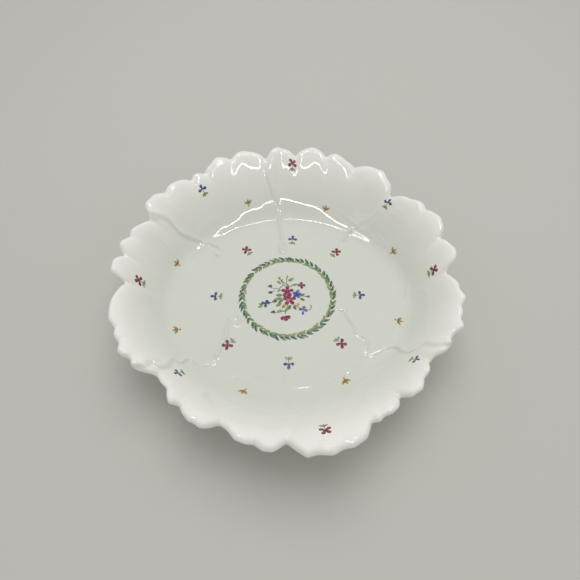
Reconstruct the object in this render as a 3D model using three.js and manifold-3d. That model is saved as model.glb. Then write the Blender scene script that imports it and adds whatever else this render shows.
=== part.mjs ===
// A leaf-moulded porcelain serving bowl. Five overlapping cabbage leaves are pressed as one body with a
// scalloped, ruffled margin. A foot ring is luted beneath the well, and the enamel decoration lies on
// the glaze as separate transfers: a laurel wreath, the bouquet inside it, and twenty-four sprigs.
// Millimetres, +Z up. The bowl stands on its foot ring at z = 0, with the middle of its plan on the
// origin. Angles run anticlockwise from +X.
import * as THREE from "three";
import { mergeVertices } from "three/addons/utils/BufferGeometryUtils.js";
import Module from "manifold-3d";

const wasm = await Module();
wasm.setup();

// ---- Driving dimensions ----
const WALL = 4.5; // thickness of the potting, measured across the wall
const FOOT_HEIGHT = 7.5; // underside of the well above the table
const FOOT_RADIUS = 72; // middle of the foot ring
const FOOT_TREAD = 4; // width of the ring where it stands
const FOOT_ROOT = 7; // width of the ring where it meets the body
const FOOT_CHAMFER = 0.8; // softened corners of the tread
const JOINT_GAP = 0.3; // clearance between two pieces that touch

const WELL_RADIUS = 83; // flat floor, towards the front and the back
const WELL_WIDENING = 18; // extra radius of the floor towards the two sides
const RIM_RADIUS = 137; // where the wall has its full height
const RIM_RISE = 45; // rim above the floor at that radius
const RIM_SLOPE = 0.56; // slope left at the rim, as a share of the wall's mean slope
const WALL_FULLNESS = 0.4; // how far the middle of the wall bellies above an easy curve

const TRANSFER_THICKNESS = 0.3; // one enamel transfer
const WREATH_RADIUS = 39.5; // middle of the laurel band
const WREATH_WIDTH = 5; // from leaf tip to leaf tip
const WREATH_NOTCH = 1.5; // depth of the gaps between two leaf tips
const WREATH_LEAVES = 36; // pairs of leaves round the band
const BOUQUET_SPAN = 44; // the bouquet across its longest stems

// A sprig, measured outwards from its middle: the head of petals, and a stem with a pair of leaves.
const SPRIG = { head: 2, petal: 3.7, petalWidth: 2.1, fork: -2.4, leaf: 3.7, leafWidth: 1.3, stemEnd: -3.3 };
const SPRIG_LEAF_SPREAD = 140; // degrees from straight out
const GOLD_SPRIG = { base: -1, blade: 4.6, bladeWidth: 1.5, stemEnd: -3.7 };
const GOLD_BLADE_SPREAD = 55;

const FLOOR_Z = FOOT_HEIGHT + WALL;
const MARGIN_STEPS = 3; // columns of the mesh between a scallop's tip and its dip

// The margin of each leaf, from the seam where it starts: dips and scallop tips as [degrees, radius].
const LEAF_MARGINS = [
  [[42.5, 126], [51, 138.5], [54, 136], [57, 136.5], [62, 132], [70, 137.5], [75, 134.5], [80, 140],
    [87, 133], [93, 137.5]],
  [[99, 131.5], [108, 140], [113, 135.5], [118, 141], [126, 133.5], [129, 135.5], [132, 132.5],
    [141, 137.5], [144, 135.5], [150, 139.5]],
  [[155.5, 130], [164, 136], [165.5, 134], [170, 137.5], [173.5, 133], [178.5, 137.5], [183.5, 127.5],
    [200, 137], [203, 134.5], [206, 135.5], [208, 134], [211.5, 137], [214.5, 131], [217.5, 133.5]],
  [[224, 123.5], [233.5, 131.5], [236.5, 128], [242, 134], [244, 133.5], [246, 134], [251, 127],
    [259, 135.5], [261, 134.5], [265, 138], [270, 132], [275, 142], [277, 141], [281, 143.5],
    [284, 140.5], [287, 141.5], [294, 130.5], [297, 133], [299, 130.5], [301.5, 132], [307.5, 125.5],
    [311.5, 132.5], [316.5, 128.5]],
  [[323, 125], [330.5, 132.5], [333.5, 131.5], [337.5, 136.5], [341.5, 134.5], [343.5, 135],
    [346.5, 133.5], [348.5, 136.5], [361.5, 127], [367.5, 136], [374.5, 132], [381, 138], [388, 135],
    [390, 136]],
];

// Where the sprigs lie, each as [degrees, distance from the axis in plan]. They are laid on by eye.
const FLOOR_BLUE = [[1, 61], [86, 62], [180, 60.5], [271, 61.5]];
const FLOOR_RED = [[47, 64], [127, 61.5], [224, 65], [314, 61]];
const WALL_GOLD = [[24.5, 105], [69, 100], [111, 104], [162, 104], [199.5, 96.5], [249.5, 92], [299.5, 88.5],
  [345.5, 95.5]];
const RIM_RED = [[4.5, 120], [88, 123.5], [180, 120], [281, 125.5]];
const RIM_BLUE = [[41.5, 120.5], [129.5, 122], [224.5, 110.5], [323.5, 116]];

const porcelain = { color: 0xe4e6e0, roughness: 0.12, metalness: 0 };
const bareClay = { color: 0xd9d4c8, roughness: 0.75, metalness: 0 };
const enamel = (color) => ({ color, roughness: 0.25, metalness: 0 });

const radians = THREE.MathUtils.degToRad;

// ---- The leaf surface ----

// Radius at which the flat floor turns up into the wall.
function wellRadius(angle) {
  return WELL_RADIUS + WELL_WIDENING * Math.abs(Math.cos(angle)) ** 3;
}

// Height of the inner surface above the floor: a cove, a full belly, then a flare that eases outwards.
function riseAt(angle, radius) {
  const start = wellRadius(angle);
  const u = (radius - start) / (RIM_RADIUS - start);
  if (u <= 0) return 0;
  if (u >= 1) return RIM_RISE * (1 + RIM_SLOPE * (u - 1));
  const cove = (3 - RIM_SLOPE) * u ** 2 - (2 - RIM_SLOPE) * u ** 3;
  const belly = WALL_FULLNESS * u ** 2 * (1 - u) ** 2;
  return RIM_RISE * (cove + belly);
}

function slopeAt(angle, radius) {
  const step = 0.05;
  return (riseAt(angle, radius + step) - riseAt(angle, radius - step)) / (2 * step);
}

// The rim as columns of { angle, radius }: a pointed dip opens into a round tip between listed points.
function marginColumns() {
  const points = LEAF_MARGINS.flat().map(([degrees, radius]) => ({ angle: radians(degrees), radius }));
  const first = points[0];
  points.push({ angle: first.angle + 2 * Math.PI, radius: first.radius });
  const columns = [];
  for (let i = 0; i < points.length - 1; i++) {
    const [from, to] = [points[i], points[i + 1]];
    for (let step = 0; step < MARGIN_STEPS; step++) {
      const t = step / MARGIN_STEPS;
      const rising = to.radius > from.radius;
      const share = rising ? Math.sin((t * Math.PI) / 2) : 1 - Math.cos((t * Math.PI) / 2);
      columns.push({
        angle: THREE.MathUtils.lerp(from.angle, to.angle, t),
        radius: THREE.MathUtils.lerp(from.radius, to.radius, share),
      });
    }
  }
  return columns;
}

// ---- Body and foot ring ----

// Stations of the section, from the middle of the underside over the rim to the middle of the floor:
// out is the share of the way from the floor's edge to the rim, face is 1 beneath, 0 inside.
const SECTION = [
  { centre: true, face: 1 },
  ...[0, 0.14, 0.32, 0.54, 0.78, 1].map((out) => ({ out, face: 1 })),
  { lip: true },
  ...[1, 0.8, 0.6, 0.44, 0.31, 0.2, 0.1, 0].map((out) => ({ out, face: 0 })),
  { centre: true, face: 0 },
];

// The point of one station on one column, as [distance from the axis, height].
function sectionPoint({ out, face, centre, lip }, { angle, radius }) {
  if (centre) return [0, FLOOR_Z - face * WALL];
  const rimSlope = Math.atan(slopeAt(angle, radius));
  const lipReach = (WALL / 2) * (Math.sin(rimSlope) + Math.cos(rimSlope));
  const edge = radius - lipReach;
  const well = wellRadius(angle);
  const plan = lip ? edge : THREE.MathUtils.lerp(well, edge, out);
  const lean = Math.atan(slopeAt(angle, plan));
  const across = lip ? WALL / 2 : face * WALL;
  const along = lip ? WALL / 2 : 0;
  return [
    plan + across * Math.sin(lean) + along * Math.cos(lean),
    FLOOR_Z + riseAt(angle, plan) - across * Math.cos(lean) + along * Math.sin(lean),
  ];
}

// A turned blank whose every vertex is then pressed to the leaf shape.
function bodyGeometry() {
  const columns = marginColumns();
  const blank = SECTION.map((_, i) => new THREE.Vector2(Math.sin((i * Math.PI) / (SECTION.length - 1)), i));
  const geometry = new THREE.LatheGeometry(blank, columns.length);
  const position = geometry.attributes.position;
  for (let k = 0; k < position.count; k++) {
    const column = columns[Math.floor(k / SECTION.length) % columns.length];
    const [reach, height] = sectionPoint(SECTION[k % SECTION.length], column);
    position.setXYZ(k, reach * Math.cos(column.angle), reach * Math.sin(column.angle), height);
  }
  return geometry;
}

function footGeometry() {
  const top = FOOT_HEIGHT - JOINT_GAP;
  const profile = [
    [-FOOT_TREAD / 2 + FOOT_CHAMFER, 0],
    [FOOT_TREAD / 2 - FOOT_CHAMFER, 0],
    [FOOT_TREAD / 2, FOOT_CHAMFER],
    [FOOT_ROOT / 2, top],
    [-FOOT_ROOT / 2, top],
    [-FOOT_TREAD / 2, FOOT_CHAMFER],
    [-FOOT_TREAD / 2 + FOOT_CHAMFER, 0],
  ].map(([offset, height]) => new THREE.Vector2(FOOT_RADIUS + offset, height));
  return new THREE.LatheGeometry(profile, 72).rotateX(Math.PI / 2);
}

// ---- Enamel transfers ----

// The half outline of a leaf and of a petal: widest at shoulder along its length, with the half widths
// at its base and its tip as shares of its width.
const LEAF_OUTLINE = { shoulder: 0.45, base: 0.12, tip: 0 };
const PETAL_OUTLINE = { shoulder: 0.75, base: 0.12, tip: 0.3 };

// A leaf or a petal lying flat from its base, at a place and heading in the motif's plane.
function leaf({ at = [0, 0], heading, length, width, outline = LEAF_OUTLINE }) {
  const shape = new THREE.Shape();
  shape.moveTo(0, -width * outline.base);
  shape.quadraticCurveTo(length * outline.shoulder, -width, length, -width * outline.tip);
  if (outline.tip) shape.lineTo(length, width * outline.tip);
  shape.quadraticCurveTo(length * outline.shoulder, width, 0, width * outline.base);
  return flatPiece(shape, at, heading);
}

function stem({ from, to, width = 0.9 }) {
  const [dx, dy] = [to[0] - from[0], to[1] - from[1]];
  const length = Math.hypot(dx, dy);
  const shape = new THREE.Shape();
  shape.moveTo(0, -width / 2);
  shape.lineTo(length, -width / 2);
  shape.lineTo(length, width / 2);
  shape.lineTo(0, width / 2);
  return flatPiece(shape, from, THREE.MathUtils.radToDeg(Math.atan2(dy, dx)));
}

function flatPiece(shape, [x, y], heading) {
  const film = { depth: TRANSFER_THICKNESS, bevelEnabled: false, curveSegments: 2 };
  return new THREE.ExtrudeGeometry(shape, film)
    .rotateZ(radians(heading))
    .translate(x, y, 0);
}

function toSolid(geometry) {
  geometry.deleteAttribute("normal");
  geometry.deleteAttribute("uv");
  const merged = mergeVertices(geometry, 1e-3);
  return new wasm.Manifold(
    new wasm.Mesh({
      numProp: 3,
      vertProperties: merged.attributes.position.array,
      triVerts: new Uint32Array(merged.index.array),
    }),
  );
}

// Joins flat pieces into one printed film.
function joined(pieces) {
  const mesh = pieces.map(toSolid).reduce((whole, piece) => whole.add(piece)).getMesh();
  return new THREE.BufferGeometry()
    .setAttribute("position", new THREE.BufferAttribute(Float32Array.from(mesh.vertProperties), 3))
    .setIndex(new THREE.BufferAttribute(Uint32Array.from(mesh.triVerts), 1));
}

// The point of the leaf surface above a place in plan.
function onSurface(x, y) {
  return new THREE.Vector3(x, y, FLOOR_Z + riseAt(Math.atan2(y, x), Math.hypot(x, y)));
}

// Bends a flat film to the leaf surface round its seat, the point that its own origin is laid on. Its
// +X points outwards up the wall.
function draped(film, degrees, radius) {
  const angle = radians(degrees);
  const lean = Math.atan(slopeAt(angle, radius));
  const seat = onSurface(radius * Math.cos(angle), radius * Math.sin(angle));
  const position = film.attributes.position;
  for (let k = 0; k < position.count; k++) {
    const outwards = position.getX(k) * Math.cos(lean);
    const sideways = position.getY(k);
    const x = outwards * Math.cos(angle) - sideways * Math.sin(angle);
    const y = outwards * Math.sin(angle) + sideways * Math.cos(angle);
    const height = onSurface(seat.x + x, seat.y + y).z - seat.z;
    position.setXYZ(k, x, y, height + (JOINT_GAP + position.getZ(k)) / Math.cos(lean));
  }
  return { geometry: film, seat };
}

// A small head of petals, a short stem and a pair of leaves, the head outwards.
function sprigFilm(petals) {
  const petal = { at: [SPRIG.head, 0], length: SPRIG.petal, width: SPRIG.petalWidth, outline: PETAL_OUTLINE };
  const foliage = { at: [SPRIG.fork, 0], length: SPRIG.leaf, width: SPRIG.leafWidth };
  return joined([
    ...petals.map((heading) => leaf({ ...petal, heading })),
    stem({ from: [SPRIG.head, 0], to: [SPRIG.stemEnd, 0] }),
    ...[SPRIG_LEAF_SPREAD, -SPRIG_LEAF_SPREAD].map((heading) => leaf({ ...foliage, heading })),
  ]);
}

// A three-bladed sprig for the foot of the wall.
function goldFilm() {
  const blade = { at: [GOLD_SPRIG.base, 0], length: GOLD_SPRIG.blade, width: GOLD_SPRIG.bladeWidth };
  return joined([
    ...[0, GOLD_BLADE_SPREAD, -GOLD_BLADE_SPREAD].map((heading) => leaf({ ...blade, heading })),
    stem({ from: [0, 0], to: [GOLD_SPRIG.stemEnd, 0] }),
  ]);
}

// The laurel band: every leaf pair gives one point outside and one inside.
function wreathFilm() {
  const edge = (radius, depth) =>
    Array.from({ length: 2 * WREATH_LEAVES }, (_, i) => {
      const angle = (i * Math.PI) / WREATH_LEAVES;
      const reach = radius + (i % 2 ? depth : 0);
      return new THREE.Vector2(reach * Math.cos(angle), reach * Math.sin(angle));
    });
  const middle = WREATH_WIDTH / 2 - WREATH_NOTCH;
  const shape = new THREE.Shape(edge(WREATH_RADIUS + middle, WREATH_NOTCH));
  shape.holes.push(new THREE.Path(edge(WREATH_RADIUS - middle, -WREATH_NOTCH)));
  return flatPiece(shape, [0, 0], 0);
}

// A flower seen from above: a rosette whose outline goes in between its petals.
const PETAL_POINTS = 3; // points of the outline for each petal, the first of them at its cleft
const CLEFT = 0.55; // how near the middle a cleft comes, as a share of the flower's size
function blossom({ at, size, petals }) {
  const outline = Array.from({ length: petals * PETAL_POINTS }, (_, i) => {
    const angle = (i * 2 * Math.PI) / (petals * PETAL_POINTS);
    const reach = i % PETAL_POINTS ? size : size * CLEFT;
    return new THREE.Vector2(reach * Math.cos(angle), reach * Math.sin(angle));
  });
  return flatPiece(new THREE.Shape(outline), at, 0);
}

// The bouquet, headed round from the back of the bowl towards the left. A share is of its half span.
const HEART_FLOWERS = { places: [[-4, 0], [2, 0]], size: 5.5, petals: 5 };
const OUTER_FLOWERS = [
  { heading: 325, share: 0.75, size: 3.2 }, // small red, back right
  { heading: 280, share: 0.35, size: 4 }, // blue beside the heart
  { heading: 235, share: 0.75, size: 3.8 }, // blue, front right
  { heading: 185, share: 0.85, size: 3.6 }, // red, front
  { heading: 112, share: 0.85, size: 3.8 }, // blue, left
  { heading: 60, share: 0.75, size: 2.2 }, // bud, back left
];
const OUTER_PETALS = 4;
const FLOWER_STEM = 1.2;
const SPRAYS = { headings: [10, 30, 85, 140, 155, 210, 260, 300], share: 0.85, width: 2.6 };
function bouquetFilm() {
  const reach = BOUQUET_SPAN / 2;
  const place = (heading, share) => [
    reach * share * Math.cos(radians(heading)),
    reach * share * Math.sin(radians(heading)),
  ];
  const { places, size: heartSize, petals } = HEART_FLOWERS;
  return joined([
    ...places.map((at) => blossom({ at, size: heartSize, petals })),
    ...OUTER_FLOWERS.flatMap(({ heading, share, size }) => [
      stem({ from: [0, 0], to: place(heading, share), width: FLOWER_STEM }),
      blossom({ at: place(heading, share), size, petals: OUTER_PETALS }),
    ]),
    ...SPRAYS.headings.map((heading) => leaf({ heading, length: reach * SPRAYS.share, width: SPRAYS.width })),
  ]);
}

// ---- The assembly ----

const bowl = new THREE.Group();
const decoration = new THREE.Group();
bowl.add(decoration);

function piece(name, geometry, finish) {
  const mesh = new THREE.Mesh(geometry, new THREE.MeshStandardMaterial(finish));
  mesh.name = name;
  return mesh;
}

function addTransfer(name, film, colour, [degrees, radius] = [0, 0]) {
  const { geometry, seat } = draped(film, degrees, radius);
  const transfer = piece(name, geometry, enamel(colour));
  transfer.position.copy(seat);
  decoration.add(transfer);
}

function addSprigs(name, places, film, colour) {
  places.forEach((place, i) => addTransfer(`${name}_${i + 1}`, film(), colour, place));
}

const threePetals = () => sprigFilm([0, 95, -95]);
const fourPetals = () => sprigFilm([-35, 35, 100, -100]);
const BACK = 90; // the heading of the bowl's far side

bowl.add(piece("bowl_body", bodyGeometry(), porcelain), piece("foot_ring", footGeometry(), bareClay));
addTransfer("wreath_transfer", wreathFilm(), 0x5f7f5c);
addTransfer("bouquet_transfer", bouquetFilm(), 0x9c3560, [BACK, 0]);
addSprigs("floor_sprig_blue", FLOOR_BLUE, threePetals, 0x5a68a8);
addSprigs("floor_sprig_red", FLOOR_RED, fourPetals, 0xa03a5c);
addSprigs("wall_sprig_gold", WALL_GOLD, goldFilm, 0xa38a55);
addSprigs("rim_sprig_red", RIM_RED, fourPetals, 0xa03a5c);
addSprigs("rim_sprig_blue", RIM_BLUE, threePetals, 0x5a68a8);

// The leaves are uneven, so the middle of the plan is found from the finished pieces.
const plan = new THREE.Box3().setFromObject(bowl).getCenter(new THREE.Vector3());
bowl.position.set(-plan.x, -plan.y, 0);

export default bowl;
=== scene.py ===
# %% [markdown]
# # A leaf-moulded porcelain serving bowl
# The bowl is pressed in a mould as five overlapping cabbage leaves, stands on a foot ring, and is
# decorated on the glaze with enamel transfers. This lesson builds it round a CAD frame that already
# fixes its size. First the frame is loaded.

# %% Load the frame
import itertools
import math

import bpy
import numpy as np
from mathutils import Matrix, Vector


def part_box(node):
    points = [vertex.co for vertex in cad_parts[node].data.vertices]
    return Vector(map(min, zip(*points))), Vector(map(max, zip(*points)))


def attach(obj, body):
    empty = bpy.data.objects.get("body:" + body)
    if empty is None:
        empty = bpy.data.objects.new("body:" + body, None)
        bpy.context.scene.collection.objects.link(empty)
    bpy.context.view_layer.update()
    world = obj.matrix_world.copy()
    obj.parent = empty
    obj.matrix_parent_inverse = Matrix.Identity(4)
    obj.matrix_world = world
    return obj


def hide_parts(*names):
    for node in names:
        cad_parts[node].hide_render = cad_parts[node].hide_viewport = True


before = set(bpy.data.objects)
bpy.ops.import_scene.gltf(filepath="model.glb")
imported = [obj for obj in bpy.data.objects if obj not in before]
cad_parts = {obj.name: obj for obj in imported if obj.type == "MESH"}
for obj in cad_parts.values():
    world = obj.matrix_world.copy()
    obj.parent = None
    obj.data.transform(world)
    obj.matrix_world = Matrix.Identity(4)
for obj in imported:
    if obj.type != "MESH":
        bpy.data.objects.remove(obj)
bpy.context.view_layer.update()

# %% [markdown]
# ## Measures from the frame
# Everything on the bowl is laid out from the middle of the wreath, so that point and the height of
# the floor are read from the CAD transfers. The shape is easier to think about in millimetres, so
# the helpers below work in millimetres from that point, and one function turns them into metres.

# %% Measures from the frame
MM = 0.001
FILM_GAP = 0.3  # the CAD films lie this far above the porcelain
WALL = 4.5  # thickness of the potting

wreath_low, wreath_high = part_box("wreath_transfer")
foot_low, foot_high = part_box("foot_ring")
CENTRE = np.array([(wreath_low.x + wreath_high.x) / 2, (wreath_low.y + wreath_high.y) / 2]) / MM
FLOOR_TOP = wreath_low.z / MM - FILM_GAP
WREATH_OUTER = (wreath_high.x - wreath_low.x) / 2 / MM
FOOT_TOP = foot_high.z / MM
FOOT_OUTER = (foot_high.x - foot_low.x) / 2 / MM


def to_metres(points):
    """Points in millimetres from the middle of the floor, as metres in the frame."""
    return (np.asarray(points) + [CENTRE[0], CENTRE[1], FLOOR_TOP]) * MM


print("middle of the wreath", CENTRE.round(2), "floor", round(FLOOR_TOP, 2), "mm")

# %% [markdown]
# ## The camera
# The viewer stands close to the bowl and looks down into it. A wide lens near the subject gives a
# strong perspective: the near rim looks clearly larger than the far one.

# %% The camera
CAMERA_REACH = 379.3  # from the aim point
CAMERA_HEIGHT_ANGLE = math.radians(57)
CAMERA_AIM = to_metres([2.13, 6.38, 0])
LENS = 27.06

eye = Vector(CAMERA_AIM) + CAMERA_REACH * MM * Vector(
    (0, -math.cos(CAMERA_HEIGHT_ANGLE), math.sin(CAMERA_HEIGHT_ANGLE))
)
bpy.ops.object.camera_add(location=eye, rotation=(math.pi / 2 - CAMERA_HEIGHT_ANGLE, 0, 0))
camera = bpy.context.object
camera.data.lens = LENS
camera.data.clip_start = 0.01
bpy.context.scene.camera = camera
print("camera at", [round(v, 3) for v in eye])

# %% [markdown]
# ## Selecting and finishing by code
# Operators act on whatever is selected, and loading the frame left its parts selected. So every new
# piece starts from an empty selection, and a finished piece has its place baked into its mesh.


# %% Small helpers for operators
def deselect():
    if bpy.context.object and bpy.context.object.mode != "OBJECT":
        bpy.ops.object.mode_set(mode="OBJECT")
    bpy.ops.object.select_all(action="DESELECT")


def select(piece):
    deselect()
    piece.select_set(True)
    bpy.context.view_layer.objects.active = piece


def coordinates(piece):
    flat = np.empty(len(piece.data.vertices) * 3)
    piece.data.vertices.foreach_get("co", flat)
    return flat.reshape(-1, 3)


def move_to(piece, points):
    piece.data.vertices.foreach_set("co", np.asarray(points, float).ravel())
    piece.data.update()


def settle(piece, name):
    """Bakes the object's place into its mesh, names it and says how large it is."""
    select(piece)
    bpy.ops.object.transform_apply(location=True, rotation=True, scale=True)
    piece.name = name
    triangles = sum(len(face.vertices) - 2 for face in piece.data.polygons)
    print(f"{name}: {triangles} triangles, {[round(v / MM, 1) for v in piece.dimensions]} mm")
    return piece


# %% [markdown]
# ## The leaf surface
# The inner surface is worked out as a height over the plan, because the body and every transfer have
# to follow it. It starts as a plain wall: a flat floor, a cove, a belly and a flaring rim.

# %% The plain wall
WELL_RADIUS = 83
WELL_WIDENING = 18
RIM_RADIUS = 137
RIM_RISE = 45
RIM_SLOPE = 0.56
WALL_FULLNESS = 0.4
COVE_EASE = 3.5  # the turn from floor to wall is spread over this distance on both sides


def pressed_wall(angle, radius):
    well = WELL_RADIUS + WELL_WIDENING * np.abs(np.cos(angle)) ** 3
    u = np.clip((radius - well) / (RIM_RADIUS - well), 0, None)
    inside = np.clip(u, 0, 1)
    cove = (3 - RIM_SLOPE) * inside**2 - (2 - RIM_SLOPE) * inside**3
    belly = WALL_FULLNESS * inside**2 * (1 - inside) ** 2
    flare = RIM_SLOPE * (u - inside)
    return RIM_RISE * (cove + belly + flare)


def wall_rise(angle, radius):
    """Height of the plain inner surface above the floor."""
    return (pressed_wall(angle, radius - COVE_EASE) + pressed_wall(angle, radius + COVE_EASE)) / 2


def ease(value, low, high):
    """0 below low, 1 above high, and a smooth rise between."""
    t = np.clip((value - low) / (high - low), 0, 1)
    return t * t * (3 - 2 * t)


print("rim height", round(float(wall_rise(np.pi / 2, RIM_RADIUS)), 2), "mm above the floor")

# %% [markdown]
# ## The scalloped margin
# Each leaf has its own uneven edge of lobes, teeth and notches. It is drawn as a list of the corners
# of the edge, leaf after leaf round the rim, each an angle and a distance from the centre. The lines
# between them are rounded a little, as the glaze rounds every corner. It keeps close to the outline
# of the CAD body, and adds the smaller teeth and the straight shoulders between them.

# %% The margin of the five leaves
LEAF_EDGES = [
    [(43, 127), (45, 132.5), (48, 134.5), (50.5, 138), (53, 137.5), (57, 137), (60, 134.5), (62, 133.5)]
    + [(66, 135), (70.5, 138.5), (73, 137), (74.5, 135.5), (77, 138.5), (80, 140.5), (83, 138.5)]
    + [(87, 134), (90, 137), (94, 138), (97, 135)],
    [(99, 132.5), (103, 137), (108.5, 140.5), (111, 139), (113, 137), (118.5, 141), (121, 137.5), (123, 136)]
    + [(125.5, 134), (129, 136), (131.5, 133.5), (134, 136), (138, 138), (141, 138), (143, 136.5)]
    + [(147, 139.5), (149, 139), (151.5, 139.5), (153, 137)],
    [(154.5, 131), (158, 132), (163.5, 136), (165.5, 134.5), (169.5, 138), (171, 137), (173, 133.5)]
    + [(177, 137.5), (182, 137), (183, 128.5), (187, 131), (191, 134), (194, 135.5), (199.5, 137)]
    + [(202.5, 134.5), (205.5, 136), (208, 134.5), (211.5, 137), (213, 136), (214.5, 132), (217.5, 133.5)]
    + [(219.5, 131)],
    [(222.5, 123.5), (226, 124.5), (229, 124.5), (231.5, 128.5), (234, 131.5), (236, 128), (239, 131.5)]
    + [(242, 134), (244, 133.5), (246, 134.5), (248, 132), (250, 126.5), (253, 129), (256, 134), (259, 135)]
    + [(261, 134), (264, 138), (266.5, 138), (268, 135.5), (270, 131), (272, 136), (275, 142)]
    + [(277.5, 140.5), (281.5, 143), (284.5, 140.5), (287, 141.5), (291, 139), (293, 134.5), (295, 130)]
    + [(297, 132.5), (299, 130.5), (301, 132), (304, 131), (307.5, 125.5), (309, 131), (313, 132.5)]
    + [(317, 128.5), (320, 128.5)],
    [(323.5, 125.5), (326, 126), (328, 130.5), (330.5, 132.5), (333.5, 131.5), (335, 132), (337.5, 137)]
    + [(341, 134.5), (344, 135), (346, 134), (348.5, 136.5), (352, 133), (355, 132.5), (358, 130)]
    + [(361.5, 128), (363, 130), (364, 134.5), (367.5, 136.5), (371, 134.5), (375.5, 132.5), (377, 136)]
    + [(381.5, 138.5), (385, 137), (388, 135.5), (390, 136.5), (392, 135.5), (395, 132.5), (398, 131.5)]
    + [(400, 129)],
]
EDGE_ROUNDING = 1.75  # degrees over which a corner of the edge is rounded
LOBE_ROUNDING = 5  # degrees over which the edge is rounded for the shape of the lobes
SHALLOWEST_NOTCH = 0.5
ANGLE_STEP = 0.25  # degrees between two points of the rounded edge

corners = np.array([corner for leaf in LEAF_EDGES for corner in leaf])
dense_angles = np.arange(0, 360, ANGLE_STEP)
straight = np.interp(dense_angles, corners[:, 0], corners[:, 1], period=360)


def rounded(radii, degrees):
    window = np.hanning(int(degrees / ANGLE_STEP) + 2)
    spread = np.convolve(np.concatenate([radii] * 3), window / window.sum(), mode="same")
    return spread[len(radii) : 2 * len(radii)]


dense_radii = rounded(straight, EDGE_ROUNDING)
lobe_radii = rounded(straight, LOBE_ROUNDING)


def margin(angle, radii=dense_radii):
    return np.interp(np.degrees(angle), dense_angles, radii, period=360)


def find_notches():
    """Angle in degrees and radius of each notch, and its depth below the lobes beside it."""
    lowest = (dense_radii < np.roll(dense_radii, 1)) & (dense_radii <= np.roll(dense_radii, -1))
    at = np.flatnonzero(lowest)
    ends = [*at[1:], at[0] + len(dense_radii)]
    tops = [np.take(dense_radii, range(a, b), mode="wrap").max() for a, b in zip(at, ends)]
    depths = [(before + after) / 2 - dense_radii[k] for k, before, after in zip(at, [tops[-1], *tops], tops)]
    return [(dense_angles[k], dense_radii[k], d) for k, d in zip(at, depths) if d > SHALLOWEST_NOTCH]


NOTCHES = find_notches()
print(len(corners), "corners on the margin,", len(NOTCHES), "notches")
print("margin from", dense_radii.min().round(1), "to", dense_radii.max().round(1), "mm")

# %% [markdown]
# ## Seams, stems and veins
# Where one leaf lies over the next, its edge shows as a wavy step that runs down the wall, and its
# stem goes on across the floor as a thin cord that ends in a curl. Each line is drawn as a few points
# in angle and radius, and a smooth path is run through them. The distance to that path then shapes
# the relief: a step with a bead along its edge for a seam, a round ridge for a stem or a vein.


# %% Lines drawn on the leaves
PATH_REACH = 45  # further than this from a line, its relief has died away


def plan_path(points, spacing=1.2):
    """A smooth path through points given as (degrees, radius), in millimetres from the centre."""
    p = np.array([[r * math.cos(math.radians(a)), r * math.sin(math.radians(a))] for a, r in points])
    p = np.vstack([2 * p[0] - p[1], p, 2 * p[-1] - p[-2]])
    path = []
    for a, b, c, d in zip(p, p[1:], p[2:], p[3:]):
        count = max(2, int(np.hypot(*(c - b)) / spacing))
        t = np.arange(count)[:, None] / count
        path.append(
            0.5 * (2 * b + (c - a) * t + (2 * a - 5 * b + 4 * c - d) * t**2 + (3 * b - a - 3 * c + d) * t**3)
        )
    return np.vstack([*path, p[-2:-1]])


def near_path(x, y, path):
    """Distance to the path, positive on its left, and the share of its length at the nearest point."""
    start, end = path[:-1], path[1:]
    along = end - start
    length = np.hypot(*along.T)
    low, high = path.min(axis=0) - PATH_REACH, path.max(axis=0) + PATH_REACH
    near = (x > low[0]) & (x < high[0]) & (y > low[1]) & (y < high[1])
    dx = x[near, None] - start[:, 0]
    dy = y[near, None] - start[:, 1]
    t = np.clip((dx * along[:, 0] + dy * along[:, 1]) / length**2, 0, 1)
    distance = np.hypot(dx - t * along[:, 0], dy - t * along[:, 1])
    k = distance.argmin(axis=1)
    row = np.arange(len(k))
    side = np.sign(along[k, 0] * dy[row, k] - along[k, 1] * dx[row, k])
    travelled = np.concatenate([[0], np.cumsum(length)])
    signed, share = np.full(len(x), 1e3), np.ones(len(x))
    signed[near] = distance[row, k] * side
    share[near] = (travelled[k] + t[row, k] * length[k]) / travelled[-1]
    return signed, share


# Each seam from the rim inwards. over is the side of the line, left or right, of the leaf on top.
SEAMS = [
    {
        "over": 1,
        "lift": 2.2,
        "points": [(156, 133), (154.5, 130), (151, 124), (150, 119), (150, 113), (147.5, 106), (145, 100)]
        + [(142, 92), (140.5, 85)],
    },
    {
        "over": 1,
        "lift": 2.8,
        "points": [(217.5, 135), (219.5, 127), (218, 122), (221, 118.5), (220, 113), (217, 108)]
        + [(219.5, 104.5), (218, 98), (222.5, 95), (225, 91), (227.5, 87), (226.5, 82)],
    },
    {
        "over": -1,
        "lift": 2.4,
        "points": [(331, 135), (329.3, 124), (331, 118), (329.4, 114.5), (327, 110), (328, 104.5)]
        + [(330, 99), (327.5, 94), (322.5, 89), (318.5, 85), (319, 82)],
    },
    {
        "over": -1,
        "lift": 1.0,
        "points": [(42.3, 129), (43.3, 119), (43, 114), (44.7, 108.4), (47.7, 101), (48, 97.7), (50.5, 92)],
    },
]

# Stems on the floor, each towards its curled end.
STEMS = [
    [(142, 92), (140.3, 85), (140.5, 80), (143.5, 77), (145.5, 79), (144, 81.5)],
    [(227, 84), (224.5, 78), (223, 74), (219.5, 67), (217.5, 63), (210.5, 58.5), (205.5, 53), (206, 47)]
    + [(211, 45.5), (214, 48.5), (212, 51)],
    [(319, 83), (322, 80), (326.5, 77.5), (327.5, 73.5), (328, 67), (333, 61.5), (336.8, 55), (343, 50)]
    + [(343, 44)],
    [(95.5, 99), (95.5, 84), (95, 72), (95, 63), (92.5, 56), (93.5, 48), (97, 48), (98, 55), (95.5, 61)],
    [(49, 95), (51.3, 91), (50, 84), (50.5, 78)],
]

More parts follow.
